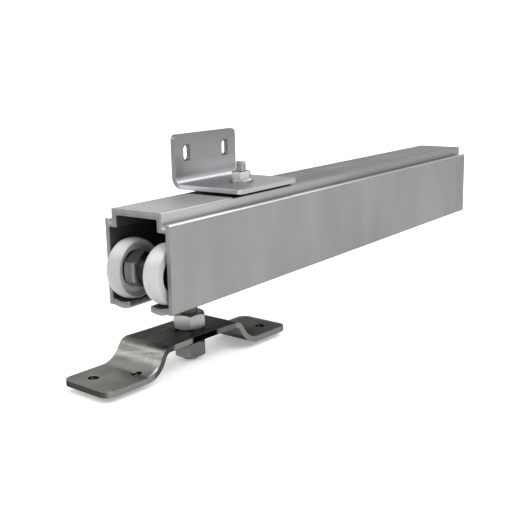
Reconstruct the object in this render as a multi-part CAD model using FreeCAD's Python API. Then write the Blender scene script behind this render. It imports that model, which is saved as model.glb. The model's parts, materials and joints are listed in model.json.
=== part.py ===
import FreeCAD, Part

import math
import os

from FreeCAD import Vector

# Sliding door track with a four-wheel hanger, a door plate and a wall bracket.
#
# The track runs along +X. The wall is at +Y, the room is at -Y, and +Z is up.
# Everything is drawn from the track's near end, with Y = 0 in the track's middle
# and Z = 0 at its lowest point. export() then moves the origin to the middle of
# the wall bracket's back face. All lengths are in millimetres.

# Track: an extruded box with a slot below and a narrower block on top
TRACK_LENGTH = 350.0
TRACK_WIDTH = 43.0
SHOULDER_TOP = 45.7
TRACK_TOP = 51.2
SIDE_WALL = 2.6
BLOCK_WIDTH = 33.4
BLOCK_WALL = 3.1
TOP_WALL = 3.3
LIP_WIDTH = 2.4
GROOVE_FLOOR = 43.3
SHOULDER_UNDERSIDE = 41.6
SLOT_WIDTH = 14.0
RACE_Y = 12.4
RACE_FLOOR = 3.2
RACE_RADIUS = 11.0
RACE_HALF_WIDTH = 4.4
RACE_THICKNESS = 3.1
BULGE_MARGIN = 0.6
BRACKET_HOLE_RADIUS = 3.3

# Wheels: nylon tyres on ball bearings, 19 x 10 x 5
WHEEL_RADIUS = 15.9
WHEEL_CLEARANCE = 0.2
WHEEL_INNER_FACE = 7.7
WHEEL_OUTER_FACE = 17.2
TREAD_HALF_WIDTH = 4.0
CROWN_DROP = 0.8
DISH_RADIUS = 12.6
TYRE_BEVEL = 0.7
BEARING_INNER_FACE = 11.2
BEARING_WIDTH = 5.0
BEARING_RADIUS = 9.5
BEARING_BORE = 5.0
OUTER_RING_INNER_RADIUS = 8.0
INNER_RING_OUTER_RADIUS = 6.5
BALL_RADIUS = 1.2
BALL_CIRCLE_RADIUS = 7.25
BALL_COUNT = 11
BALL_CLEARANCE = 0.05
SHIELD_THICKNESS = 0.3
SHIELD_DEPTH = 0.2
SHIELD_GAP = 0.2

# Carriage
LEAD_AXLE_X = 9.1
HANGER_X = 36.5
AXLE_Z = RACE_FLOOR + WHEEL_CLEARANCE + WHEEL_RADIUS
AXLE_END = 17.9
AXLE_CHAMFER = 0.6
CLIP_THICKNESS = 0.9
CLIP_RADIUS = 7.0
CLIP_GROOVE_RADIUS = 4.6
WEB_HALF_WIDTH = 2.4
WEB_HALF_HEIGHT = 8.0
BOSS_HALF_LENGTH = 10.0
BOSS_HALF_WIDTH = 6.3
BOSS_BOTTOM = 10.0
BOSS_TOP = 30.0
BOSS_CORNER = 1.5
AXLE_NUT_FLATS = 17.0
AXLE_NUT_HEIGHT = 8.4
SPACER_RADIUS = 6.4

# Hanger bolt and its nuts, M10
BOLT_RADIUS = 5.0
BOLT_RUNNING_GAP = 0.08
BOLT_HOLE_RADIUS = 5.5
WASHER_HOLE_RADIUS = 5.25
BOLT_END_Z = -34.6
BOLT_CHAMFER = 0.9
BOLT_HEAD_HEIGHT = 6.4
HEX_FLATS = 16.0
HEX_NUT_HEIGHT = 8.4
UPPER_NUT_TURN = 46.0
LOWER_NUT_TURN = 42.0
THRUST_WASHER_RADIUS = 10.0
THRUST_WASHER_THICKNESS = 2.0
PLAIN_WASHER_RADIUS = 9.5
PLAIN_WASHER_THICKNESS = 1.6
SPRING_WASHER_RADIUS = 8.6
SPRING_WASHER_THICKNESS = 2.2
SPRING_WASHER_GAP = 1.2

# Door plate: a strip stepped down at both ends to two wings
PLATE_X = 31.2
PLATE_YAW = -4.0
PLATE_LENGTH = 136.0
PLATE_HALF_WIDTH = 16.7
PLATE_WAIST = 15.2
PLATE_WAIST_HALF_LENGTH = 36.0
PLATE_THICKNESS = 3.0
PLATE_TOP = -17.3
WING_TOP = -28.8
STEP_START = 28.5
STEP_END = 35.3
UPPER_BEND = 3.0
LOWER_BEND = 12.0
PLATE_CORNER = 5.0
CUTTER_DEPTH = 60.0
SCREW_HOLE_RADIUS = 2.2
COUNTERSINK_RADIUS = 3.0
SCREW_PLACES = [(40.6, 8.0), (57.3, -5.5)]

# Wall bracket and its bolt, M6
BRACKET_X = 86.0
BRACKET_WIDTH = 55.2
BRACKET_BACK = 27.5
BRACKET_FRONT = -20.0
BRACKET_TOP = 82.5
BRACKET_THICKNESS = 2.6
BRACKET_BEND = 4.0
BRACKET_CORNER = 3.2
BRACKET_LEG_Z = 52.5
PAD_RADIUS = 9.0
WALL_SLOT_SPACING = 34.4
WALL_SLOT_Z = 71.9
WALL_SLOT_WIDTH = 5.6
WALL_SLOT_LENGTH = 9.0
SMALL_BOLT_RADIUS = 3.0
SMALL_BOLT_TOP = 66.6
SMALL_FLATS = 10.0
SMALL_HEAD_HEIGHT = 4.0
FLANGE_NUT_HEIGHT = 6.0
NUT_FLANGE_RADIUS = 6.8
NUT_FLANGE_THICKNESS = 1.2

ORIGIN = Vector(BRACKET_X, BRACKET_BACK, WALL_SLOT_Z)
LEFT_RIGHT = {"wall": 1.0, "room": -1.0}
AXLES = {"lead": LEAD_AXLE_X, "trail": 2.0 * HANGER_X - LEAD_AXLE_X}


def export(node, shape):
    """Writes one node, with the origin moved to the wall bracket's back face."""
    placed = shape.copy()
    placed.translate(ORIGIN.negative())
    placed.exportStep(f"parts/{node}.step")


def polygon_edges(points):
    """Straight edges through the points, in order."""
    return [Part.LineSegment(a, b).toShape() for a, b in zip(points, points[1:])]


def face_from(edges):
    """A flat face inside a closed loop of edges."""
    return Part.Face(Part.Wire(Part.__sortEdges__(edges)))


def rounded_path(corners, radii):
    """Edges of an open path whose inner corners are rounded to the given radii."""
    edges = []
    start = corners[0]
    for before, corner, after, radius in zip(corners, corners[1:], corners[2:], radii):
        u = (before - corner).normalize()
        v = (after - corner).normalize()
        half_angle = u.getAngle(v) / 2.0
        first = corner + u * (radius / math.tan(half_angle))
        last = corner + v * (radius / math.tan(half_angle))
        bisector = (u + v).normalize()
        middle = corner + bisector * (radius / math.sin(half_angle) - radius)
        edges.append(Part.LineSegment(start, first).toShape())
        edges.append(Part.Arc(first, middle, last).toShape())
        start = last
    edges.append(Part.LineSegment(start, corners[-1]).toShape())
    return edges


def bent_sheet(outer, inner, outer_radii, inner_radii, extrusion):
    """A bent strip between two rounded paths with the same bends, extruded."""
    edges = rounded_path(outer, outer_radii) + rounded_path(inner, inner_radii)
    edges += polygon_edges([outer[0], inner[0]]) + polygon_edges([outer[-1], inner[-1]])
    return face_from(edges).extrude(extrusion)


def cylinder(radius, base, length, axis):
    """A cylinder from base along axis."""
    return Part.makeCylinder(radius, length, base, axis)


def tube(outer, inner, base, length, axis):
    """A hollow cylinder from base along axis."""
    return cylinder(outer, base, length, axis).cut(cylinder(inner, base, length, axis))


def chamfered_rod(radius, base, length, axis, chamfer):
    """A rod whose two ends are chamfered."""
    rod = cylinder(radius, base, length, axis)
    rims = [edge for edge in rod.Edges if abs(edge.Length - 2 * math.pi * radius) < 1e-6
            and edge.Closed]
    return rod.makeChamfer(chamfer, rims)


def hexagon_prism(flats, base, height, axis, corner):
    """A hexagonal prism from base along axis, with one corner towards corner."""
    reach = flats / math.sqrt(3.0)
    direction = Vector(corner).normalize()
    turns = [FreeCAD.Rotation(axis, 60.0 * i) for i in range(7)]
    points = [base + turn.multVec(direction) * reach for turn in turns]
    return Part.Face(Part.makePolygon(points)).extrude(axis * height)


def chamfered_hexagon(flats, base, height, axis, corner, both_ends=True):
    """A hexagonal prism whose corners are cut back to a 30 degree cone at its ends."""
    side = Vector(corner).normalize()
    reach = flats / math.sqrt(3.0) + 0.2
    flat_radius = 0.475 * flats
    drop = (reach - flat_radius) * math.tan(math.radians(30.0))
    start = [(flat_radius, 0.0), (reach, drop)] if both_ends else [(reach, 0.0)]
    profile = [(0.0, 0.0)] + start
    profile += [(reach, height - drop), (flat_radius, height), (0.0, height), (0.0, 0.0)]
    outline = polygon_edges([base + side * r + axis * h for r, h in profile])
    cone = face_from(outline).revolve(base, axis, 360.0)
    return hexagon_prism(flats, base, height, axis, corner).common(cone)


def hex_nut(flats, bore, base, height, axis, corner):
    """A chamfered hexagon nut with a plain bore."""
    nut = chamfered_hexagon(flats, base, height, axis, corner)
    return nut.cut(cylinder(bore, base, height, axis))


def revolved(profile, axle_x, side):
    """Turns a closed (distance from the middle, radius) outline about a wheel axle."""
    centre = Vector(axle_x, 0.0, AXLE_Z)
    edges = []
    for kind, *points in profile:
        spots = [centre + Vector(0.0, side * y, r) for y, r in points]
        edges += polygon_edges(spots) if kind == "line" else [Part.Arc(*spots).toShape()]
    return face_from(edges).revolve(centre, Vector(0.0, 1.0, 0.0), 360.0)


def arc_rise(radius, half):
    """How far an arc's ends stand above its lowest point."""
    return radius - math.sqrt(radius ** 2 - half ** 2)


def track_half(side):
    """One half of the track's section, from the slot to the middle of the top."""
    slot = SLOT_WIDTH / 2.0
    wall = TRACK_WIDTH / 2.0
    block = BLOCK_WIDTH / 2.0
    lip = wall - LIP_WIDTH
    inside = wall - SIDE_WALL
    block_inside = block - BLOCK_WALL
    ceiling = TRACK_TOP - TOP_WALL
    race_in = RACE_Y - RACE_HALF_WIDTH
    race_out = RACE_Y + RACE_HALF_WIDTH
    bulge_in = race_in - BULGE_MARGIN
    bulge_out = race_out + BULGE_MARGIN
    floor = RACE_FLOOR + arc_rise(RACE_RADIUS, RACE_HALF_WIDTH)
    base = arc_rise(RACE_RADIUS + RACE_THICKNESS, RACE_HALF_WIDTH + BULGE_MARGIN)
    outer = [(bulge_out, base), (wall, base), (wall, SHOULDER_TOP), (lip, SHOULDER_TOP),
             (lip, GROOVE_FLOOR), (block, GROOVE_FLOOR), (block, TRACK_TOP), (0.0, TRACK_TOP)]
    inner = [(race_out, floor), (inside, floor), (inside, SHOULDER_UNDERSIDE),
             (block_inside, SHOULDER_UNDERSIDE), (block_inside, ceiling), (0.0, ceiling)]
    flange = [(race_in, floor), (slot, floor), (slot, base), (bulge_in, base)]
    race = [(race_in, floor), (RACE_Y, RACE_FLOOR), (race_out, floor)]
    bulge = [(bulge_in, base), (RACE_Y, 0.0), (bulge_out, base)]
    edges = rounded_path(section_points(outer, side), [1.0, 0.4, 0.4, 0.4, 0.4, 0.6])
    edges += rounded_path(section_points(inner, side), [0.8, 0.5, 0.3, 0.8])
    edges += rounded_path(section_points(flange, side), [0.5, 0.3])
    edges += [Part.Arc(*section_points(curve, side)).toShape() for curve in (race, bulge)]
    edges += polygon_edges(section_points([outer[-1], inner[-1]], side))
    return face_from(edges)


def section_points(pairs, side):
    """Points of the track's section from (distance from the middle, height) pairs."""
    return [Vector(0.0, side * y, z) for y, z in pairs]


def track_rail():
    """The extrusion, with the hole for the bracket's bolt through its top."""
    halves = [track_half(side).extrude(Vector(TRACK_LENGTH, 0, 0)) for side in (1.0, -1.0)]
    rail = halves[0].fuse(halves[1]).removeSplitter()
    hole = cylinder(BRACKET_HOLE_RADIUS, Vector(BRACKET_X, 0, TRACK_TOP - 2 * TOP_WALL),
                    3 * TOP_WALL, Vector(0, 0, 1))
    return rail.cut(hole)


def tyre(axle_x, side):
    """A nylon tyre: crowned tread, dished on the inside, with the bearing's seat."""
    bearing_outer_face = BEARING_INNER_FACE + BEARING_WIDTH
    crown_edge = WHEEL_RADIUS - CROWN_DROP
    crown_in = (RACE_Y - TREAD_HALF_WIDTH, crown_edge)
    crown_out = (RACE_Y + TREAD_HALF_WIDTH, crown_edge)
    return revolved([
        ("arc", crown_in, (RACE_Y, WHEEL_RADIUS), crown_out),
        ("line", crown_out, (WHEEL_OUTER_FACE, crown_edge - TYRE_BEVEL),
         (WHEEL_OUTER_FACE, BEARING_RADIUS + TYRE_BEVEL), (bearing_outer_face, BEARING_RADIUS),
         (BEARING_INNER_FACE, BEARING_RADIUS), (BEARING_INNER_FACE, DISH_RADIUS),
         (WHEEL_INNER_FACE, crown_edge - TYRE_BEVEL), crown_in),
    ], axle_x, side)


def ring_groove(axle_x, side, radius):
    """The ball groove that both bearing rings are cut with."""
    middle = side * (BEARING_INNER_FACE + BEARING_WIDTH / 2.0)
    return Part.makeTorus(radius, BALL_RADIUS + BALL_CLEARANCE,
                          Vector(axle_x, middle, AXLE_Z), Vector(0, 1, 0))


def bearing_ring(axle_x, side, outer, inner):
    """One bearing ring with its ball groove."""
    middle = side * (BEARING_INNER_FACE + BEARING_WIDTH / 2.0)
    base = Vector(axle_x, middle - BEARING_WIDTH / 2.0, AXLE_Z)
    ring = tube(outer, inner, base, BEARING_WIDTH, Vector(0, 1, 0))
    return ring.cut(ring_groove(axle_x, side, BALL_CIRCLE_RADIUS))


def bearing_balls(axle_x, side):
    """The balls of one bearing, as separate solids."""
    middle = side * (BEARING_INNER_FACE + BEARING_WIDTH / 2.0)
    balls = []
    for i in range(BALL_COUNT):
        turn = 2.0 * math.pi * i / BALL_COUNT
        offset = Vector(math.cos(turn), 0.0, math.sin(turn)) * BALL_CIRCLE_RADIUS
        balls.append(Part.makeSphere(BALL_RADIUS, Vector(axle_x, middle, AXLE_Z) + offset))
    return Part.makeCompound(balls)


def bearing_shields(axle_x, side):
    """The two thin discs that close a bearing, held in its outer ring."""
    shields = []
    first = BEARING_INNER_FACE + SHIELD_DEPTH
    second = BEARING_INNER_FACE + BEARING_WIDTH - SHIELD_DEPTH - SHIELD_THICKNESS
    for face in (first, second):
        low = min(side * face, side * (face + SHIELD_THICKNESS))
        shields.append(tube(OUTER_RING_INNER_RADIUS, INNER_RING_OUTER_RADIUS + SHIELD_GAP,
                            Vector(axle_x, low, AXLE_Z), SHIELD_THICKNESS, Vector(0, 1, 0)))
    return Part.makeCompound(shields)


def axle(axle_x):
    """An axle through both wheels, with a groove for a clip at each end."""
    rod = chamfered_rod(BEARING_BORE, Vector(axle_x, -AXLE_END, AXLE_Z), 2 * AXLE_END,
                        Vector(0, 1, 0), AXLE_CHAMFER)
    for side in LEFT_RIGHT.values():
        rod = rod.cut(tube(BEARING_BORE + 1, CLIP_GROOVE_RADIUS, clip_base(axle_x, side),
                           CLIP_THICKNESS, Vector(0, 1, 0)))
    return rod


def clip_base(axle_x, side):
    """The low-Y end of a clip, which lies against the bearing's inner ring."""
    face = BEARING_INNER_FACE + BEARING_WIDTH
    return Vector(axle_x, min(side * face, side * (face + CLIP_THICKNESS)), AXLE_Z)


def axle_clips():
    """Four open retaining clips, one at each axle end."""
    clips = []
    for axle_x in AXLES.values():
        for side in LEFT_RIGHT.values():
            base = clip_base(axle_x, side)
            clip = tube(CLIP_RADIUS, CLIP_GROOVE_RADIUS, base, CLIP_THICKNESS, Vector(0, 1, 0))
            mouth = Part.makeBox(CLIP_GROOVE_RADIUS, CLIP_THICKNESS, 2 * CLIP_RADIUS,
                                 base - Vector(CLIP_GROOVE_RADIUS / 2.0, 0, 2 * CLIP_RADIUS))
            clips.append(clip.cut(mouth))
    return Part.makeCompound(clips)


def axle_nuts():
    """Four hexagon nuts that clamp the carriage's web on its axles."""
    nuts = []
    for axle_x in AXLES.values():
        for side in LEFT_RIGHT.values():
            base = Vector(axle_x, side * WEB_HALF_WIDTH, AXLE_Z)
            nuts.append(hex_nut(AXLE_NUT_FLATS, BEARING_BORE, base, AXLE_NUT_HEIGHT,
                                Vector(0, side, 0), Vector(0, 0, 1)))
    return Part.makeCompound(nuts)


def axle_spacers():
    """Four thin spacers between a nut and a bearing's inner ring."""
    spacers = []
    start = WEB_HALF_WIDTH + AXLE_NUT_HEIGHT
    for axle_x in AXLES.values():
        for side in LEFT_RIGHT.values():
            low = min(side * start, side * BEARING_INNER_FACE)
            spacers.append(tube(SPACER_RADIUS, WASHER_HOLE_RADIUS, Vector(axle_x, low, AXLE_Z),
                                BEARING_INNER_FACE - start, Vector(0, 1, 0)))
    return Part.makeCompound(spacers)


def upright_edges(shape, height):
    """A shape's edges that stand the full height."""
    return [edge for edge in shape.Edges if abs(edge.BoundBox.ZLength - height) < 1e-6]


def carriage_body():
    """A web that carries both axles, with a boss in its middle for the hanger bolt."""
    lead = AXLES["lead"]
    trail = AXLES["trail"]
    across = Vector(0, 1, 0)
    low = -WEB_HALF_WIDTH
    body = Part.makeBox(trail - lead, 2 * WEB_HALF_WIDTH, 2 * WEB_HALF_HEIGHT,
                        Vector(lead, low, AXLE_Z - WEB_HALF_HEIGHT))
    for axle_x in (lead, trail):
        body = body.fuse(cylinder(WEB_HALF_HEIGHT, Vector(axle_x, low, AXLE_Z), -2 * low, across))
    boss = Part.makeBox(2 * BOSS_HALF_LENGTH, 2 * BOSS_HALF_WIDTH, BOSS_TOP - BOSS_BOTTOM,
                        Vector(HANGER_X - BOSS_HALF_LENGTH, -BOSS_HALF_WIDTH, BOSS_BOTTOM))
    boss = boss.makeFillet(BOSS_CORNER, upright_edges(boss, BOSS_TOP - BOSS_BOTTOM))
    body = body.fuse(boss).removeSplitter()
    for axle_x in (lead, trail):
        body = body.cut(cylinder(BEARING_BORE, Vector(axle_x, low, AXLE_Z), -2 * low, across))
    bore_radius = BOLT_RADIUS + BOLT_RUNNING_GAP
    return body.cut(cylinder(bore_radius, Vector(HANGER_X, 0, 0), BOSS_TOP + 1, Vector(0, 0, 1)))


def hanger_bolt():
    """The bolt that hangs from the carriage through the track's slot."""
    up = Vector(0, 0, 1)
    base = Vector(HANGER_X, 0, BOSS_TOP + THRUST_WASHER_THICKNESS)
    corner = Vector(1, 0, 0)
    head = chamfered_hexagon(HEX_FLATS, base, BOLT_HEAD_HEIGHT, up, corner, both_ends=False)
    end = Vector(HANGER_X, 0, BOLT_END_Z)
    shank = chamfered_rod(BOLT_RADIUS, end, base.z + 1 - BOLT_END_Z, up, BOLT_CHAMFER)
    return head.fuse(shank).removeSplitter()


def hanger_ring(radius, bottom, thickness):
    """A flat washer on the hanger bolt."""
    return tube(radius, WASHER_HOLE_RADIUS, Vector(HANGER_X, 0, bottom), thickness, Vector(0, 0, 1))


def spring_washer(bottom):
    """A split washer, closed flat between the plain washer and the lower nut."""
    ring = hanger_ring(SPRING_WASHER_RADIUS, bottom, SPRING_WASHER_THICKNESS)
    reach = 2 * SPRING_WASHER_RADIUS
    split = Part.makeBox(reach, SPRING_WASHER_GAP, SPRING_WASHER_THICKNESS,
                         Vector(0, -SPRING_WASHER_GAP / 2.0, 0))
    split.rotate(Vector(0, 0, 0), Vector(0, 0, 1), 150.0)
    split.translate(Vector(HANGER_X, 0, bottom))
    return ring.cut(split)


def hanger_nut(bottom, turn):
    """A hexagon nut on the hanger bolt, with a corner turned from the near end."""
    corner = FreeCAD.Rotation(Vector(0, 0, 1), turn).multVec(Vector(-1, 0, 0))
    return hex_nut(HEX_FLATS, BOLT_RADIUS, Vector(HANGER_X, 0, bottom), HEX_NUT_HEIGHT,
                   Vector(0, 0, 1), corner)


def plate_outline():
    """The door plate seen from above: square wings and a slightly drawn-in waist."""
    low = -CUTTER_DEPTH
    block = Part.makeBox(PLATE_LENGTH, 2 * PLATE_HALF_WIDTH, CUTTER_DEPTH,
                         Vector(-PLATE_LENGTH / 2.0, -PLATE_HALF_WIDTH, low))
    block = block.makeFillet(PLATE_CORNER, upright_edges(block, CUTTER_DEPTH))
    for side in (1.0, -1.0):
        a = Vector(-PLATE_WAIST_HALF_LENGTH, side * PLATE_HALF_WIDTH, low)
        b = Vector(PLATE_WAIST_HALF_LENGTH, side * PLATE_HALF_WIDTH, low)
        middle = Vector(0, side * PLATE_WAIST, low)
        bite = face_from([Part.Arc(a, middle, b).toShape()] + polygon_edges([a, b]))
        block = block.cut(bite.extrude(Vector(0, 0, CUTTER_DEPTH)))
    return block


def plate_strip():
    """The stepped strip before its outline is cut, from wing to wing."""
    half = PLATE_LENGTH / 2.0
    t = PLATE_THICKNESS
    slope = math.atan2(PLATE_TOP - WING_TOP, STEP_END - STEP_START)
    shift = t * math.tan(slope / 2.0)
    steps = [(half, WING_TOP, 0.0), (STEP_END, WING_TOP, shift), (STEP_START, PLATE_TOP, shift)]
    top = [Vector(-s, -PLATE_HALF_WIDTH, z) for s, z, d in steps]
    top += [Vector(s, -PLATE_HALF_WIDTH, z) for s, z, d in steps[::-1]]
    bottom = [Vector(d - s, -PLATE_HALF_WIDTH, z - t) for s, z, d in steps]
    bottom += [Vector(s - d, -PLATE_HALF_WIDTH, z - t) for s, z, d in steps[::-1]]
    top_radii = [LOWER_BEND, UPPER_BEND + t, UPPER_BEND + t, LOWER_BEND]
    bottom_radii = [LOWER_BEND + t, UPPER_BEND, UPPER_BEND, LOWER_BEND + t]
    return bent_sheet(top, bottom, top_radii, bottom_radii, Vector(0, 2 * PLATE_HALF_WIDTH, 0))


def obround(width, length, base, height):
    """A slot cutter: length along X, rounded ends, from base upwards."""
    run = length - width
    body = Part.makeBox(run, width, height, base - Vector(run / 2.0, width / 2.0, 0))
    for end in (-1.0, 1.0):
        middle = base + Vector(end * run / 2.0, 0, 0)
        body = body.fuse(cylinder(width / 2.0, middle, height, Vector(0, 0, 1)))
    return body


def door_plate():
    """The plate that is screwed to the top of the door."""
    up = Vector(0, 0, 1)
    plate = plate_strip().common(plate_outline())
    depth = COUNTERSINK_RADIUS - SCREW_HOLE_RADIUS
    for mirror in (-1.0, 1.0):
        for s, q in SCREW_PLACES:
            spot = Vector(mirror * s, mirror * q, WING_TOP)
            plate = plate.cut(cylinder(SCREW_HOLE_RADIUS, spot - up * 5, 10, up))
            plate = plate.cut(Part.makeCone(SCREW_HOLE_RADIUS, COUNTERSINK_RADIUS, depth, spot - up * depth))
    plate.rotate(Vector(0, 0, 0), up, PLATE_YAW)
    plate.translate(Vector(PLATE_X, 0, 0))
    return plate.cut(cylinder(BOLT_HOLE_RADIUS, Vector(HANGER_X, 0, PLATE_TOP - 10), 20, up))


def wall_bracket():
    """An angle screwed to the wall, whose lower leg stands on a pressed pad on the track."""
    t = BRACKET_THICKNESS
    x = BRACKET_X - BRACKET_WIDTH / 2.0
    front = BRACKET_FRONT
    back = BRACKET_BACK
    leg = BRACKET_LEG_Z
    outer = [(front, leg), (back, leg), (back, BRACKET_TOP)]
    inner = [(front, leg + t), (back - t, leg + t), (back - t, BRACKET_TOP)]
    angle = bent_sheet([Vector(x, y, z) for y, z in outer], [Vector(x, y, z) for y, z in inner],
                       [BRACKET_BEND + t], [BRACKET_BEND], Vector(BRACKET_WIDTH, 0, 0))
    tips = [edge for edge in angle.Edges if abs(edge.Length - t) < 1e-6]
    angle = angle.makeFillet(BRACKET_CORNER, tips)
    for side in (-1.0, 1.0):
        angle = angle.cut(wall_slot(BRACKET_X + side * WALL_SLOT_SPACING / 2.0))
    rise = leg - TRACK_TOP
    pad = Part.makeCone(PAD_RADIUS - rise, PAD_RADIUS, rise, Vector(BRACKET_X, 0, TRACK_TOP))
    below = Vector(BRACKET_X, 0, TRACK_TOP - 1)
    return angle.fuse(pad).cut(cylinder(BRACKET_HOLE_RADIUS, below, t + rise + 2, Vector(0, 0, 1)))


def wall_slot(x):
    """An upright slot cutter through the bracket's wall leg."""
    below = Vector(0, 0, -BRACKET_THICKNESS)
    cutter = obround(WALL_SLOT_WIDTH, WALL_SLOT_LENGTH, below, 3 * BRACKET_THICKNESS)
    cutter.rotate(Vector(0, 0, 0), Vector(0, 0, 1), 90.0)
    cutter.rotate(Vector(0, 0, 0), Vector(1, 0, 0), 90.0)
    cutter.translate(Vector(x, BRACKET_BACK, WALL_SLOT_Z))
    return cutter


def bracket_bolt():
    """The bolt from inside the track up through the bracket."""
    up = Vector(0, 0, 1)
    head_base = Vector(BRACKET_X, 0, TRACK_TOP - TOP_WALL - SMALL_HEAD_HEIGHT)
    head = chamfered_hexagon(SMALL_FLATS, head_base, SMALL_HEAD_HEIGHT, up, Vector(1, 0, 0))
    shank = chamfered_rod(SMALL_BOLT_RADIUS, head_base, SMALL_BOLT_TOP - head_base.z, up, 0.5)
    return head.fuse(shank).removeSplitter()


def bracket_nut():
    """The flanged hexagon nut on the bracket's bolt."""
    up = Vector(0, 0, 1)
    base = Vector(BRACKET_X, 0, BRACKET_LEG_Z + BRACKET_THICKNESS)
    hexagon = chamfered_hexagon(SMALL_FLATS, base, FLANGE_NUT_HEIGHT, up, Vector(0, 1, 0))
    flange = cylinder(NUT_FLANGE_RADIUS, base, NUT_FLANGE_THICKNESS, up)
    skirt = Part.makeCone(NUT_FLANGE_RADIUS, SMALL_FLATS / 2.0, NUT_FLANGE_THICKNESS,
                          base + up * NUT_FLANGE_THICKNESS)
    nut = hexagon.fuse(flange).fuse(skirt).removeSplitter()
    return nut.cut(cylinder(SMALL_BOLT_RADIUS, base, FLANGE_NUT_HEIGHT, up))


def export_wheel(axle_name, side_name):
    """Writes the five nodes of one wheel."""
    axle_x = AXLES[axle_name]
    side = LEFT_RIGHT[side_name]
    place = f"{axle_name}_{side_name}"
    outer_ring = bearing_ring(axle_x, side, BEARING_RADIUS, OUTER_RING_INNER_RADIUS)
    inner_ring = bearing_ring(axle_x, side, INNER_RING_OUTER_RADIUS, BEARING_BORE)
    export(f"tyre_{place}", tyre(axle_x, side))
    export(f"bearing_outer_ring_{place}", outer_ring)
    export(f"bearing_inner_ring_{place}", inner_ring)
    export(f"bearing_balls_{place}", bearing_balls(axle_x, side))
    export(f"bearing_shields_{place}", bearing_shields(axle_x, side))


def main():
    os.makedirs("parts", exist_ok=True)
    export("track_rail", track_rail())
    export("wall_bracket", wall_bracket())
    export("bracket_bolt", bracket_bolt())
    export("bracket_nut", bracket_nut())
    for axle_name, axle_x in AXLES.items():
        export(f"{axle_name}_axle", axle(axle_x))
        for side_name in LEFT_RIGHT:
            export_wheel(axle_name, side_name)
    export("carriage_body", carriage_body())
    export("axle_nuts", axle_nuts())
    export("axle_spacers", axle_spacers())
    export("axle_clips", axle_clips())
    export("thrust_washer", hanger_ring(THRUST_WASHER_RADIUS, BOSS_TOP, THRUST_WASHER_THICKNESS))
    export("hanger_bolt", hanger_bolt())
    export("upper_nut", hanger_nut(PLATE_TOP, UPPER_NUT_TURN))
    export("door_plate", door_plate())
    level = PLATE_TOP - PLATE_THICKNESS - PLAIN_WASHER_THICKNESS
    export("plain_washer", hanger_ring(PLAIN_WASHER_RADIUS, level, PLAIN_WASHER_THICKNESS))
    level -= SPRING_WASHER_THICKNESS
    export("spring_washer", spring_washer(level))
    export("lower_nut", hanger_nut(level - HEX_NUT_HEIGHT, LOWER_NUT_TURN))


main()
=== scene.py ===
import json
import math

import bmesh
import bpy
from mathutils import Matrix, Vector


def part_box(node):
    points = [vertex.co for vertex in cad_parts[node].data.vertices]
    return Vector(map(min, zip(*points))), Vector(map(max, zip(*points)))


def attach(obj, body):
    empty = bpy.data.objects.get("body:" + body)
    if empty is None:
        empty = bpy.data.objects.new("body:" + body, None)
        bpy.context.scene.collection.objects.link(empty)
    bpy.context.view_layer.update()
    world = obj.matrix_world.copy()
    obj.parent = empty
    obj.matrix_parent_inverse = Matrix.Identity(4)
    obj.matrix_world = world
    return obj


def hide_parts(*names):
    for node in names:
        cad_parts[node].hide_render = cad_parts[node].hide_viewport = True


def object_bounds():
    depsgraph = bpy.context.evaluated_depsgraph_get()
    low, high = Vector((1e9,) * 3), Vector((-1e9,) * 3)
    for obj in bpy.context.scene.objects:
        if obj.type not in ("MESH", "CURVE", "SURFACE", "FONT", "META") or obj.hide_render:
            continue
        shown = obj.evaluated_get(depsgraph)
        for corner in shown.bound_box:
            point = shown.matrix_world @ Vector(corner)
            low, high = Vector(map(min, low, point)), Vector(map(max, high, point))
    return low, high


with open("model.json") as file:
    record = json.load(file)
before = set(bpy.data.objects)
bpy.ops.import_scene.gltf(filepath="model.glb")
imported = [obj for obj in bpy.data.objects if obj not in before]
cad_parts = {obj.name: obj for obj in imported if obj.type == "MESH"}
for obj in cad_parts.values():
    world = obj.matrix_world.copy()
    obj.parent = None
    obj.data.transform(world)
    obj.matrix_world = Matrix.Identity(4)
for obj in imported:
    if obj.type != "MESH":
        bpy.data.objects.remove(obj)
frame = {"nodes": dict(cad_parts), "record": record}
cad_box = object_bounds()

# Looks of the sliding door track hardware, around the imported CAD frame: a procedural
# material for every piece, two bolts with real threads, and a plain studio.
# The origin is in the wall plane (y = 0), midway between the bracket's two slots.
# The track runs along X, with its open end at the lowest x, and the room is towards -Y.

MM = 0.001
NODES = frame["nodes"]


def middle(node):
    """The middle of a node's box."""
    low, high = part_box(node)
    return (low + high) / 2.0


TRACK_LOW, TRACK_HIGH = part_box("track_rail")
TRACK_CENTRE = middle("track_rail").y
TYRE_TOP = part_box("tyre_lead_room")[1].z
PLATE_UNDERSIDE, PLATE_TOP = (corner.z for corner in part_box("door_plate"))
PLATE_MIDDLE = middle("door_plate")
PLATE_TURN = math.radians(-4.0)
PLATE_THICKNESS = 3.0 * MM
WING_TOP = PLATE_UNDERSIDE + PLATE_THICKNESS


# ---------------------------------------------------------------- node helpers

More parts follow.
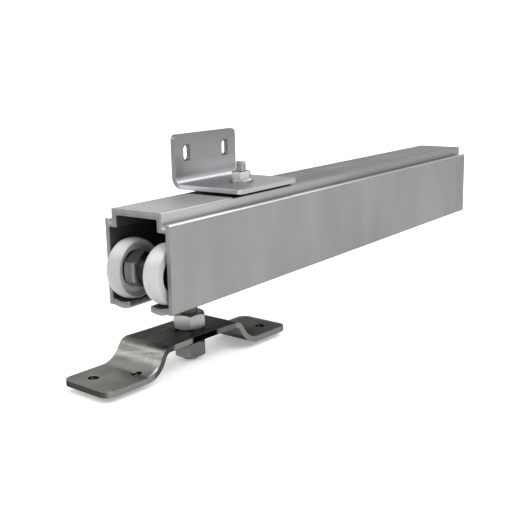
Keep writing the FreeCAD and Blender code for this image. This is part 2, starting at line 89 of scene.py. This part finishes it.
class Graph:
    """A material's node tree, with short calls for the nodes used here."""

    def __init__(self, name):
        self.material = bpy.data.materials.new(name)
        self.material.use_nodes = True
        self.tree = self.material.node_tree
        self.tree.nodes.clear()
        self.output = self.add("ShaderNodeOutputMaterial")
        self.shader = self.add("ShaderNodeBsdfPrincipled")
        self.link(self.shader.outputs["BSDF"], self.output.inputs["Surface"])
        self.coords = self.add("ShaderNodeTexCoord").outputs["Object"]

    def add(self, kind, **settings):
        """A new node with its settings."""
        node = self.tree.nodes.new(kind)
        for key, value in settings.items():
            setattr(node, key, value)
        return node

    def link(self, source, target):
        self.tree.links.new(source, target)

    def feed(self, target, value):
        """Gives an input a number, or links it to a socket."""
        if isinstance(value, (int, float)):
            target.default_value = value
        else:
            self.link(value, target)

    def set(self, **values):
        """Constant values of the shader's sockets, by name with _ for a space."""
        for key, value in values.items():
            self.shader.inputs[key.replace("_", " ")].default_value = value

    def metal(self, tint):
        """A metal whose reflection at grazing angles is dimmed to tint."""
        self.set(Metallic=1.0, Specular_Tint=(tint, tint, tint, 1.0))

    # Places and directions on the piece.

    def axes(self, vector=None):
        """The three parts of a vector, or of the place on the piece in metres."""
        node = self.add("ShaderNodeSeparateXYZ")
        self.link(vector or self.coords, node.inputs["Vector"])
        return node.outputs["X"], node.outputs["Y"], node.outputs["Z"]

    def facing(self):
        """The three parts of the surface's direction."""
        return self.axes(self.add("ShaderNodeNewGeometry").outputs["True Normal"])

    def mapped(self, scale, rotation=(0.0, 0.0, 0.0)):
        """The place, scaled along each axis and then turned, for a stretched pattern."""
        node = self.add("ShaderNodeMapping")
        node.inputs["Scale"].default_value = scale
        node.inputs["Rotation"].default_value = rotation
        self.link(self.coords, node.inputs["Vector"])
        return node.outputs["Vector"]

    def seen_from(self, origin, turn):
        """The place as measured from an origin, along axes turned about Z."""
        node = self.add("ShaderNodeMapping", vector_type="TEXTURE")
        node.inputs["Location"].default_value = origin
        node.inputs["Rotation"].default_value = (0.0, 0.0, turn)
        self.link(self.coords, node.inputs["Vector"])
        return node.outputs["Vector"]

    def combine(self, x, y, z):
        """A vector from three parts."""
        node = self.add("ShaderNodeCombineXYZ")
        for target, value in zip(node.inputs, (x, y, z)):
            self.feed(target, value)
        return node.outputs["Vector"]

    # Patterns and arithmetic.

    def noise(self, scale, detail, roughness, vector=None, distortion=0.0):
        """A noise pattern; scale is its repeats in a metre, or in one unit of vector."""
        node = self.add("ShaderNodeTexNoise")
        node.inputs["Scale"].default_value = scale
        node.inputs["Detail"].default_value = detail
        node.inputs["Roughness"].default_value = roughness
        node.inputs["Distortion"].default_value = distortion
        self.link(vector or self.coords, node.inputs["Vector"])
        return node.outputs["Fac"]

    def math(self, operation, a, b):
        node = self.add("ShaderNodeMath", operation=operation)
        self.feed(node.inputs[0], a)
        self.feed(node.inputs[1], b)
        return node.outputs["Value"]

    def absolute(self, value):
        return self.math("ABSOLUTE", value, 0.0)

    def times(self, first, *others):
        """The product of values; of masks, it is where all of them are."""
        product = first
        for other in others:
            product = self.math("MULTIPLY", product, other)
        return product

    def remap(self, value, low, high, to_low=0.0, to_high=1.0):
        """Value's range from low to high, mapped to another range and held at its ends."""
        node = self.add("ShaderNodeMapRange")
        for target, number in zip(node.inputs[1:5], (low, high, to_low, to_high)):
            target.default_value = number
        self.link(value, node.inputs["Value"])
        return node.outputs["Result"]

    def below(self, value, low, high):
        """1 where value is under low, fading to 0 at high."""
        return self.remap(value, low, high, 1.0, 0.0)

    def within(self, value, low, high, soft=0.3 * MM):
        """1 where value lies between low and high, fading out over soft."""
        rise = self.remap(value, low - soft, low + soft)
        return self.times(rise, self.below(value, high - soft, high + soft))

    def mix(self, factor, a, b):
        """Mixes two colours; each is a socket or an (r, g, b) tuple."""
        node = self.add("ShaderNodeMix", data_type="RGBA")
        self.feed(node.inputs["Factor"], factor)
        for target, value in zip((node.inputs[6], node.inputs[7]), (a, b)):
            if isinstance(value, tuple):
                target.default_value = (*value, 1.0)
            else:
                self.link(value, target)
        return node.outputs[2]

    # The shader's inputs.

    def colour(self, source):
        self.link(source, self.shader.inputs["Base Color"])

    def roughness(self, source):
        self.link(source, self.shader.inputs["Roughness"])

    def relief(self, height, distance, strength, edge):
        """Bump from height, over edges rounded to the radius edge, in metres."""
        bevel = self.add("ShaderNodeBevel", samples=6)
        bevel.inputs["Radius"].default_value = edge
        bump = self.add("ShaderNodeBump")
        bump.inputs["Strength"].default_value = strength
        bump.inputs["Distance"].default_value = distance
        self.link(height, bump.inputs["Height"])
        self.link(bevel.outputs["Normal"], bump.inputs["Normal"])
        self.link(bump.outputs["Normal"], self.shader.inputs["Normal"])


def shade(base, factor):
    """A colour made lighter or darker."""
    return tuple(min(1.0, c * factor) for c in base)


# ------------------------------------------------------------------- materials

def extruded_aluminium():
    """Mill finish with die lines along the track, blotches and sawn ends, with painted light on the top,
    shoulders, groove and lips, and painted shade inside.
    """
    g = Graph("track_aluminium")
    g.metal(0.55)
    base = (0.275, 0.275, 0.272)
    x, y, z = g.axes()
    along = g.math("SUBTRACT", x, TRACK_LOW.x)
    depth = g.math("SUBTRACT", TRACK_HIGH.z, z)
    off_centre = g.absolute(g.math("SUBTRACT", y, TRACK_CENTRE))
    away = g.remap(along, 36.0 * MM, 206.0 * MM)

    lines = g.noise(1.0, 3.0, 0.6, g.mapped((6.0, 1500.0, 1500.0)))
    bands = g.noise(1.0, 2.0, 0.5, g.mapped((3.0, 260.0, 260.0)))
    blotches = g.noise(1.0, 4.0, 0.6, g.mapped((30.0, 9.0, 9.0)))
    specks = g.noise(420.0, 3.0, 0.7)
    saw_marks = g.noise(1.0, 2.0, 0.7, g.mapped((40.0, 2200.0, 90.0), (math.radians(18.0), 0.0, 0.0)))
    tone = g.mix(g.remap(blotches, 0.35, 0.66), shade(base, 0.86), shade(base, 1.08))
    tone = g.mix(g.remap(lines, 0.3, 0.7, 0.0, 0.05), tone, shade(base, 0.9))

    # The top: streaked, with a painted highlight that grows towards the open end, and painted shade in the
    # gap under the bracket.
    on_top = g.below(depth, 0.5 * MM, 0.9 * MM)
    streaks = g.times(g.remap(bands, 0.36, 0.62), on_top, 0.7)
    tone = g.mix(streaks, tone, shade(base, 0.72))
    painted_highlight_near_end = g.times(g.below(along, 16.0 * MM, 106.0 * MM), on_top, 0.8)
    tone = g.mix(painted_highlight_near_end, tone, shade(base, 2.2))
    painted_shade_under_bracket = g.times(g.within(x, -30.0 * MM, 25.0 * MM, 1.0 * MM), on_top, 0.95)
    tone = g.mix(painted_shade_under_bracket, tone, shade(base, 0.04))

    # Painted light on the shoulders, stronger towards the open end; the groove painted bright against its
    # shade; and a painted highlight along the lips beside them, strongest towards the open end.
    painted_light_shoulder = g.times(g.within(off_centre, 16.0 * MM, 19.0 * MM), g.within(depth, 0.8 * MM, 8.8 * MM))
    tone = g.mix(painted_light_shoulder, tone, g.mix(away, shade(base, 1.5), base))
    painted_light_groove = g.times(g.within(off_centre, 15.0 * MM, 19.3 * MM), g.within(depth, 6.1 * MM, 8.9 * MM))
    tone = g.mix(painted_light_groove, tone, (0.8, 0.8, 0.79))
    painted_highlight_lip = g.times(g.remap(off_centre, 18.8 * MM, 19.2 * MM), g.below(depth, 5.9 * MM, 6.3 * MM))
    tone = g.mix(painted_highlight_lip, tone, g.mix(away, shade(base, 3.3), shade(base, 1.5)))
    tone = g.mix(g.remap(specks, 0.62, 0.72, 0.0, 0.3), tone, shade(base, 0.75))

    # Painted shade inside: the channel that the wheels run in, and the narrower block above it.
    channel = g.times(g.below(off_centre, 19.3 * MM, 19.9 * MM), g.within(depth, 8.8 * MM, 49.2 * MM))
    block = g.times(g.below(off_centre, 14.9 * MM, 15.5 * MM), g.within(depth, 1.7 * MM, 9.3 * MM))
    inside = g.math("MAXIMUM", channel, block)
    tone = g.mix(inside, tone, (0.12, 0.12, 0.12))

    on_end = g.remap(g.absolute(g.facing()[0]), 0.9, 0.95)
    sawn = g.mix(g.remap(saw_marks, 0.3, 0.7), shade(base, 0.70), shade(base, 0.95))
    g.colour(g.mix(on_end, tone, sawn))

    rough = g.math("ADD", g.remap(blotches, 0.3, 0.7, 0.44, 0.54), g.remap(lines, 0.3, 0.7, -0.01, 0.02))
    g.roughness(g.math("ADD", rough, g.times(inside, 0.2)))
    height = g.math("ADD", g.times(lines, 0.1), g.times(bands, 0.2))
    g.relief(height, distance=0.06 * MM, strength=0.3, edge=0.4 * MM)
    return g.material


def zinc(name, base, smooth, rough, painted_facets=False):
    """Zinc-plated steel: a soft spangle, faint rubbing marks and a warm tarnish, and, when asked, painted
    light and shade on the faces.
    """
    g = Graph(name)
    g.metal(0.5)
    cloud = g.noise(60.0, 5.0, 0.6, distortion=0.4)
    grain = g.noise(900.0, 3.0, 0.6)
    rubs = g.noise(1.0, 3.0, 0.65, g.mapped((260.0, 900.0, 260.0), (0.3, 0.2, 0.6)))
    stains = g.noise(26.0, 4.0, 0.6)
    tone = g.mix(g.remap(cloud, 0.35, 0.68), shade(base, 0.86), shade(base, 1.10))
    tone = g.mix(g.remap(rubs, 0.45, 0.75, 0.0, 0.35), tone, shade(base, 1.18))
    tarnish = (base[0] * 0.95, base[1] * 0.90, base[2] * 0.74)
    tone = g.mix(g.remap(stains, 0.45, 0.75, 0.0, 0.3), tone, tarnish)
    # Painted light and shade on the faces, when asked.
    if painted_facets:
        tone = painted_light_and_shade_faces(g, base, tone)
    g.colour(tone)
    g.roughness(g.math("ADD", g.remap(cloud, 0.3, 0.7, smooth, rough), g.remap(rubs, 0.4, 0.75, 0.0, 0.05)))
    height = g.math("ADD", cloud, g.times(grain, 0.15))
    g.relief(height, distance=0.12 * MM, strength=0.35, edge=0.3 * MM)
    return g.material


def painted_light_and_shade_faces(g, base, tone):
    """Painted light and shade on the fasteners' faces, set by the way each face turns and whether it sits
    under the track or inside it.
    """
    _, y, z = g.axes()
    facing_x, facing_y, facing_z = g.facing()

    # Under the track: painted light on faces turned to the open end, painted shade on faces turned to the
    # room, and deeper painted shade just under the door plate.
    under_track = g.below(z, TRACK_LOW.z - 0.1 * MM, TRACK_LOW.z + 1.9 * MM)
    painted_light_end_faces = g.times(g.below(facing_x, -0.9, -0.3), under_track)
    tone = g.mix(painted_light_end_faces, tone, shade(base, 1.3))
    painted_shade_room_faces = g.times(g.below(facing_y, -0.9, -0.5), under_track)
    tone = g.mix(painted_shade_room_faces, tone, shade(base, 0.66))
    painted_shade_under_plate = g.below(z, PLATE_TOP - 2.3 * MM, PLATE_TOP - 1.3 * MM)
    tone = g.mix(painted_shade_under_plate, tone, g.mix(painted_shade_room_faces, shade(base, 0.55), shade(base, 0.24)))

    # Inside the track: painted light overall, painted shade on the upward faces, and deep painted shade on
    # the parts towards the room.
    in_track = g.math("SUBTRACT", 1.0, under_track)
    tone = g.mix(in_track, tone, shade(base, 1.35))
    painted_shade_upward = g.times(g.remap(facing_z, 0.3, 0.7), in_track)
    tone = g.mix(painted_shade_upward, tone, shade(base, 0.7))
    painted_shade_room_side = g.times(g.below(y, TRACK_CENTRE + 3.3 * MM, TRACK_CENTRE + 4.1 * MM), in_track)
    return g.mix(painted_shade_room_side, tone, shade(base, 0.2))


def plate_steel():
    """The door plate's zinc plating: dull and oily, with rolling streaks and smears, and painted light and
    shade on its faces and edges.
    """
    g = Graph("plate_steel")
    g.metal(0.25)
    base = (0.155, 0.153, 0.143)
    origin = (PLATE_MIDDLE.x, PLATE_MIDDLE.y, 0.0)
    along, across, height = g.axes(g.seen_from(origin, PLATE_TURN))
    from_middle = g.absolute(along)
    wing = g.remap(from_middle, 31.0 * MM, 38.0 * MM)

    cloud = g.noise(70.0, 5.0, 0.62, distortion=0.6)
    grain = g.noise(900.0, 3.0, 0.6)
    slanted = g.math("ADD", height, g.times(across, 0.2))
    rolling = g.noise(1.0, 4.0, 0.6, g.combine(g.times(slanted, 700.0), g.times(across, 22.0), 0.0))
    smear = g.noise(1.0, 4.0, 0.6, g.mapped((28.0, 150.0, 28.0), (0.0, 0.0, math.radians(14.0))), 1.2)

    # The broad faces: darker in the middle, where painted shade stands for the track above, painted light
    # on the wings (the far wing shading off towards its slope), random smears, and a painted highlight
    # streaked across the upper slopes.
    clouds = g.remap(cloud, 0.34, 0.66)
    tone = g.mix(clouds, shade(base, 0.80), shade(base, 1.15))
    tone = g.mix(wing, tone, g.mix(clouds, shade(base, 1.8), shade(base, 2.3)))
    far_wing = g.remap(along, 30.0 * MM, 35.0 * MM)
    far_tone = g.mix(g.remap(along, 35.0 * MM, 56.0 * MM), shade(base, 0.55), shade(base, 1.25))
    tone = g.mix(far_wing, tone, far_tone)
    tone = g.mix(g.remap(smear, 0.50, 0.72, 0.0, 0.6), tone, shade(base, 1.9))
    upper_slope = g.below(slanted, PLATE_TOP - 3.6 * MM, PLATE_TOP - 1.6 * MM)
    painted_highlight_slope = g.times(upper_slope, g.remap(slanted, PLATE_TOP - 8.3 * MM, PLATE_TOP - 5.8 * MM))
    tone = g.mix(painted_highlight_slope, tone, g.mix(g.remap(rolling, 0.35, 0.65), shade(base, 0.9), shade(base, 1.65)))

    # Painted highlights: a lighter rim round the wings, bright corners and a white glint at the bend.
    side = g.remap(g.absolute(across), 13.8 * MM, 15.8 * MM)
    painted_highlight_rim = g.math("MAXIMUM", side, g.remap(from_middle, 65.5 * MM, 67.2 * MM))
    tone = g.mix(g.times(painted_highlight_rim, wing, 0.8), tone, shade(base, 1.9))
    corner = g.times(g.remap(from_middle, 63.0 * MM, 66.0 * MM), side)
    tone = g.mix(corner, tone, shade(base, 3.0))
    at_bend = g.within(along, -40.5 * MM, -34.8 * MM, 1.0 * MM)
    glint = g.times(at_bend, g.below(across, -15.8 * MM, -14.8 * MM))
    tone = g.mix(glint, tone, (1.0, 1.0, 0.98))

    # Darker countersinks, and painted black shade in the holes through them.
    below_wing_top = g.below(height, WING_TOP - 0.20 * MM, WING_TOP - 0.15 * MM)
    sunk = g.times(below_wing_top, wing, g.math("SUBTRACT", 1.0, painted_highlight_rim))
    tone = g.mix(sunk, tone, shade(base, 0.35))
    painted_shade_hole = g.times(sunk, g.remap(height, PLATE_UNDERSIDE + 0.05 * MM, PLATE_UNDERSIDE + 0.10 * MM))
    tone = g.mix(painted_shade_hole, tone, shade(base, 0.03))

    # The sheared edge all round, with painted light and shade: lighter on the faces turned to the ends,
    # darker on the sides and darker still in bands along them, and painted black shade beside the nuts.
    facing_x, _, facing_z = g.facing()
    sheared = g.below(g.absolute(facing_z), 0.1, 0.2)
    edge = g.mix(g.remap(g.absolute(facing_x), 0.6, 0.9), shade(base, 1.15), shade(base, 0.35))
    edge = g.mix(g.within(along, -37.0 * MM, -29.0 * MM, 1.0 * MM), edge, shade(base, 0.45))
    edge = g.mix(g.within(along, 0.0, 25.0 * MM, 1.0 * MM), edge, shade(base, 0.7))
    edge = g.mix(g.within(along, -29.0 * MM, -22.0 * MM, 1.0 * MM), edge, shade(base, 0.3))
    edge = g.mix(g.within(along, -8.5 * MM, 10.5 * MM, 1.0 * MM), edge, shade(base, 0.02))
    g.colour(g.mix(sheared, tone, edge))

    g.roughness(g.math("ADD", g.remap(cloud, 0.3, 0.7, 0.24, 0.34), g.remap(rolling, 0.4, 0.75, 0.0, 0.06)))
    height = g.math("ADD", cloud, g.times(grain, 0.12))
    g.relief(height, distance=0.12 * MM, strength=0.35, edge=0.6 * MM)
    return g.material


def bracket_steel():
    """The bracket's zinc plating, with painted shade up the wall leg and painted light towards the bend and
    on the lower leg.
    """
    g = Graph("bracket_steel")
    g.metal(0.6)
    base = (0.262, 0.268, 0.272)
    x, y, z = g.axes()
    cloud = g.noise(70.0, 5.0, 0.6, distortion=0.5)
    grain = g.noise(900.0, 3.0, 0.6)
    rolling = g.noise(1.0, 3.0, 0.6, g.mapped((30.0, 30.0, 420.0)))
    tone = g.mix(g.remap(cloud, 0.35, 0.66), shade(base, 0.9), shade(base, 1.08))
    tone = g.mix(g.remap(rolling, 0.45, 0.75, 0.0, 0.4), tone, shade(base, 1.2))
    # Painted shade growing up the wall leg, painted light on the lower leg, and a painted highlight along
    # the bend.
    painted_shade_height = g.remap(z, -12.0 * MM, 10.0 * MM)
    tone = g.mix(painted_shade_height, g.mix(0.5, tone, shade(base, 1.15)), shade(base, 0.72))
    lower_leg = g.remap(y, -3.6 * MM, -6.0 * MM)
    tone = g.mix(lower_leg, tone, shade(base, 1.6))
    in_bend = g.within(y, -9.0 * MM, -3.0 * MM, 0.8 * MM)
    painted_highlight_bend = g.times(in_bend, g.within(z, -17.2 * MM, -7.0 * MM, 2.5 * MM), 0.8)
    tone = g.mix(painted_highlight_bend, tone, shade(base, 2.4))

    # Painted light and shade on the cut edges: the end towards the track's open end, and the front of the
    # lower leg.
    facing_x, facing_y, _ = g.facing()
    tone = g.mix(g.below(facing_x, -0.9, -0.7), tone, g.mix(lower_leg, shade(base, 0.7), shade(base, 1.5)))
    painted_light_cut_front = g.times(g.below(facing_y, -0.9, -0.7), lower_leg)
    tone = g.mix(painted_light_cut_front, tone, shade(base, 1.3))

    # Painted shade on the walls of the two slots.
    fine = 0.05 * MM
    between_sides = g.within(g.absolute(x), 14.35 * MM, 20.05 * MM, fine)
    slot = g.times(between_sides, g.within(z, -4.6 * MM, 4.6 * MM, fine))
    g.colour(g.mix(slot, tone, shade(base, 0.45)))

    g.roughness(g.math("ADD", g.remap(cloud, 0.3, 0.7, 0.28, 0.38), g.remap(rolling, 0.4, 0.75, 0.0, 0.04)))
    height = g.math("ADD", cloud, g.times(grain, 0.12))
    g.relief(height, distance=0.1 * MM, strength=0.3, edge=0.5 * MM)
    return g.material


def nylon():
    """White moulded nylon with a slight sheen and faint rolling marks, painted shade on the wall side and
    painted light on the upper tread.
    """
    g = Graph("tyre_nylon")
    g.set(Subsurface_Weight=0.12, Subsurface_Scale=2.0 * MM, Specular_IOR_Level=0.5)
    base = (0.43, 0.43, 0.44)
    _, y, z = g.axes()
    cloud = g.noise(90.0, 4.0, 0.6)
    rings = g.noise(1.0, 2.0, 0.6, g.mapped((60.0, 1800.0, 60.0)))
    tone = g.mix(g.remap(cloud, 0.4, 0.75), base, shade(base, 0.93))
    tone = g.mix(g.remap(rings, 0.55, 0.8, 0.0, 0.3), tone, (0.35, 0.345, 0.335))
    # Painted shade on the wall-side wheels, and painted light on the upper tread.
    painted_shade_wall_side = g.remap(y, TRACK_CENTRE, TRACK_CENTRE + 1.0 * MM)
    tone = g.mix(painted_shade_wall_side, tone, shade(base, 0.82))
    painted_light_upper_tread = g.remap(z, TYRE_TOP - 8.8 * MM, TYRE_TOP - 0.8 * MM)
    g.colour(g.mix(painted_light_upper_tread, tone, shade(base, 1.6)))
    g.roughness(g.remap(cloud, 0.3, 0.7, 0.34, 0.46))
    g.relief(g.math("ADD", cloud, rings), distance=0.06 * MM, strength=0.4, edge=0.5 * MM)
    return g.material


def polished(name, base, smooth, rough):
    """Ground steel with a faint haze and fine marks."""
    g = Graph(name)
    g.metal(0.5)
    marks = g.noise(700.0, 2.0, 0.6)
    haze = g.noise(120.0, 4.0, 0.6)
    g.colour(g.mix(g.remap(haze, 0.35, 0.7), shade(base, 0.9), shade(base, 1.06)))
    g.roughness(g.math("ADD", g.remap(haze, 0.3, 0.7, smooth, rough), g.remap(marks, 0.4, 0.7, 0.0, 0.05)))
    g.relief(marks, distance=0.03 * MM, strength=0.4, edge=0.2 * MM)
    return g.material


# One material for each of the record's slots.
MATERIALS = {
    "track_aluminium": extruded_aluminium(),
    "bracket_steel": bracket_steel(),
    "small_fastener_steel": zinc("small_fastener_steel", (0.50, 0.50, 0.495), smooth=0.24, rough=0.36),
    # Painted shade: the carriage is near-black where it stands in the dark inside the track.
    "carriage_steel": zinc("carriage_steel", (0.03, 0.03, 0.028), smooth=0.35, rough=0.5),
    "axle_steel": polished("axle_steel", (0.40, 0.40, 0.39), smooth=0.22, rough=0.32),
    # The fasteners in this slot carry painted light and shade on their faces.
    "fastener_steel": zinc("fastener_steel", (0.47, 0.465, 0.445), smooth=0.28, rough=0.40, painted_facets=True),
    # Painted shade: the spring washers are near-black, in the dark under the door plate.
    "spring_steel": zinc("spring_steel", (0.05, 0.05, 0.05), smooth=0.3, rough=0.45),
    "tyre_nylon": nylon(),
    "bearing_steel": polished("bearing_steel", (0.30, 0.30, 0.30), smooth=0.18, rough=0.28),
    # Painted shade: the bearing shields are near-black, in the dark between the wheels.
    "shield_steel": polished("shield_steel", (0.06, 0.06, 0.06), smooth=0.35, rough=0.45),
    "bolt_steel": zinc("bolt_steel", (0.26, 0.255, 0.235), smooth=0.28, rough=0.4),
    "plate_steel": plate_steel(),
}

for part in frame["record"]["subparts"]:
    mesh = NODES[part["node"]].data
    mesh.materials.clear()
    mesh.materials.append(MATERIALS[part["material_slot"]])


# -------------------------------------------------------------- threaded bolts

def ring(mesh, centre, z, radii):
    """Adds a ring of vertices at a height, one for each radius, evenly spaced."""
    points = []
    for i, radius in enumerate(radii):
        angle = 2.0 * math.pi * i / len(radii)
        x, y = centre.x + radius * math.cos(angle), centre.y + radius * math.sin(angle)
        points.append(mesh.verts.new((x, y, z)))
    return points


def skin(mesh, rings):
    """Joins rings of vertices, from the lowest up, into a closed solid."""
    for lower, upper in zip(rings, rings[1:]):
        for i in range(len(lower)):
            k = (i + 1) % len(lower)
            mesh.faces.new((lower[i], lower[k], upper[k], upper[i]))
    mesh.faces.new(rings[0][::-1])
    mesh.faces.new(rings[-1])


def thread_radius(turns, major, depth):
    """The thread's radius at a height given in turns: flat crests, straight flanks and narrow roots."""
    phase = turns - math.floor(turns)
    flank = min(1.0, max(0.0, 1.3 * abs(2.0 * phase - 1.0) - 0.1))
    return major - depth * (1.0 - flank)


def threaded_rod(mesh, centre, low, high, major, pitch, chamfer):
    """Adds a closed rod with a helical thread to a bmesh."""
    around, rings_per_turn = 40, 8
    depth = 0.6 * pitch
    steps = math.ceil((high - low) / pitch * rings_per_turn)
    rings = []
    for j in range(steps + 1):
        z = low + (high - low) * j / steps
        limit = major - max(0.0, chamfer - min(z - low, high - z))
        radii = [min(limit, thread_radius(z / pitch - i / around, major, depth)) for i in range(around)]
        rings.append(ring(mesh, centre, z, radii))
    skin(mesh, rings)


def hexagon_head(mesh, centre, low, high, flats):
    """Adds a hexagonal head whose top edges are chamfered."""
    reach = flats / math.sqrt(3.0)
    chamfer = 0.12 * reach
    profile = ((low, reach), (high - 0.5 * chamfer, reach), (high, reach - chamfer))
    skin(mesh, [ring(mesh, centre, z, [radius] * 6) for z, radius in profile])


def threaded_bolt(node, body, material_slot, major, pitch, chamfer, flats, head, head_up):
    """A bolt with a real thread, in the place of the CAD model's plain one."""
    low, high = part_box(node)
    centre = middle(node)
    mesh = bmesh.new()
    if head_up:
        threaded_rod(mesh, centre, low.z, high.z - head, major, pitch, chamfer)
        hexagon_head(mesh, centre, high.z - head, high.z, flats)
    else:
        threaded_rod(mesh, centre, low.z + head, high.z, major, pitch, chamfer)
        hexagon_head(mesh, centre, low.z, low.z + head, flats)
    data = bpy.data.meshes.new(node + "_threaded")
    mesh.to_mesh(data)
    mesh.free()
    data.materials.append(MATERIALS[material_slot])
    bolt = bpy.data.objects.new(node + "_threaded", data)
    bpy.context.scene.collection.objects.link(bolt)
    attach(bolt, body)
    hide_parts(node)


threaded_bolt("hanger_bolt", "hanger", "bolt_steel", major=5.0 * MM, pitch=1.5 * MM,
              chamfer=0.9 * MM, flats=16.0 * MM, head=6.4 * MM, head_up=True)
threaded_bolt("bracket_bolt", "rail", "small_fastener_steel", major=3.0 * MM, pitch=1.0 * MM,
              chamfer=0.5 * MM, flats=10.0 * MM, head=4.0 * MM, head_up=False)


# ---------------------------------------------------- floor, lights and camera

def floor():
    """A plain pale floor just under the lowest piece, lit a little from within to stay white."""
    g = Graph("floor")
    g.set(Base_Color=(0.90, 0.90, 0.90, 1.0), Roughness=0.9)
    g.set(Emission_Color=(1.0, 1.0, 1.0, 1.0), Emission_Strength=0.28)
    bpy.ops.mesh.primitive_plane_add(size=60.0, location=(0.0, 0.0, cad_box[0].z - 0.5 * MM))
    plane = bpy.context.object
    plane.name = "floor"
    plane.data.materials.append(g.material)


def softbox(name, location, target, size, power, tint=(1.0, 1.0, 1.0)):
    """A square area light turned to a target."""
    data = bpy.data.lights.new(name, "AREA")
    data.shape = "SQUARE"
    data.size = size
    data.energy = power
    data.color = tint
    lamp = bpy.data.objects.new(name, data)
    bpy.context.scene.collection.objects.link(lamp)
    lamp.location = location
    lamp.rotation_euler = (Vector(target) - Vector(location)).to_track_quat("-Z", "Y").to_euler()


def surroundings():
    """An even white studio all round."""
    world = bpy.data.worlds.new("studio")
    bpy.context.scene.world = world
    world.use_nodes = True
    background = world.node_tree.nodes["Background"]
    background.inputs["Color"].default_value = (1.0, 1.0, 1.0, 1.0)
    background.inputs["Strength"].default_value = 1.0


def photo_camera():
    """The camera, past the track's open end on the room side, looking along it and a little down."""
    yaw, pitch, roll = math.radians(36.2), math.radians(12.8), math.radians(-1.21)
    place = Vector((-0.3914, -0.3248, 0.0500))
    forward = Vector((math.cos(pitch) * math.cos(yaw), math.cos(pitch) * math.sin(yaw), -math.sin(pitch)))
    right = forward.cross(Vector((0.0, 0.0, 1.0))).normalized()
    up = right.cross(forward)
    across = math.cos(roll) * right + math.sin(roll) * up
    upright = math.cos(roll) * up - math.sin(roll) * right
    data = bpy.data.cameras.new("camera")
    data.sensor_width = 36.0
    data.lens = 60.94
    data.clip_start = 0.01
    camera = bpy.data.objects.new("camera", data)
    bpy.context.scene.collection.objects.link(camera)
    heading = Matrix((across, upright, -forward)).transposed().to_4x4()
    camera.matrix_world = Matrix.Translation(place) @ heading
    bpy.context.scene.camera = camera


floor()
surroundings()
softbox("key", location=(-0.3, -1.5, 1.6), target=(0.0, 0.0, -0.05), size=1.1, power=22.0)
softbox("back", location=(-1.15, 1.15, 1.15), target=(0.0, 0.0, -0.09), size=0.9, power=8.0)
softbox("side", location=(1.35, -0.10, 1.35), target=(0.0, 0.0, -0.03), size=1.2, power=7.0,
        tint=(0.93, 0.96, 1.0))
photo_camera()
bpy.context.scene.view_settings.view_transform = "Standard"
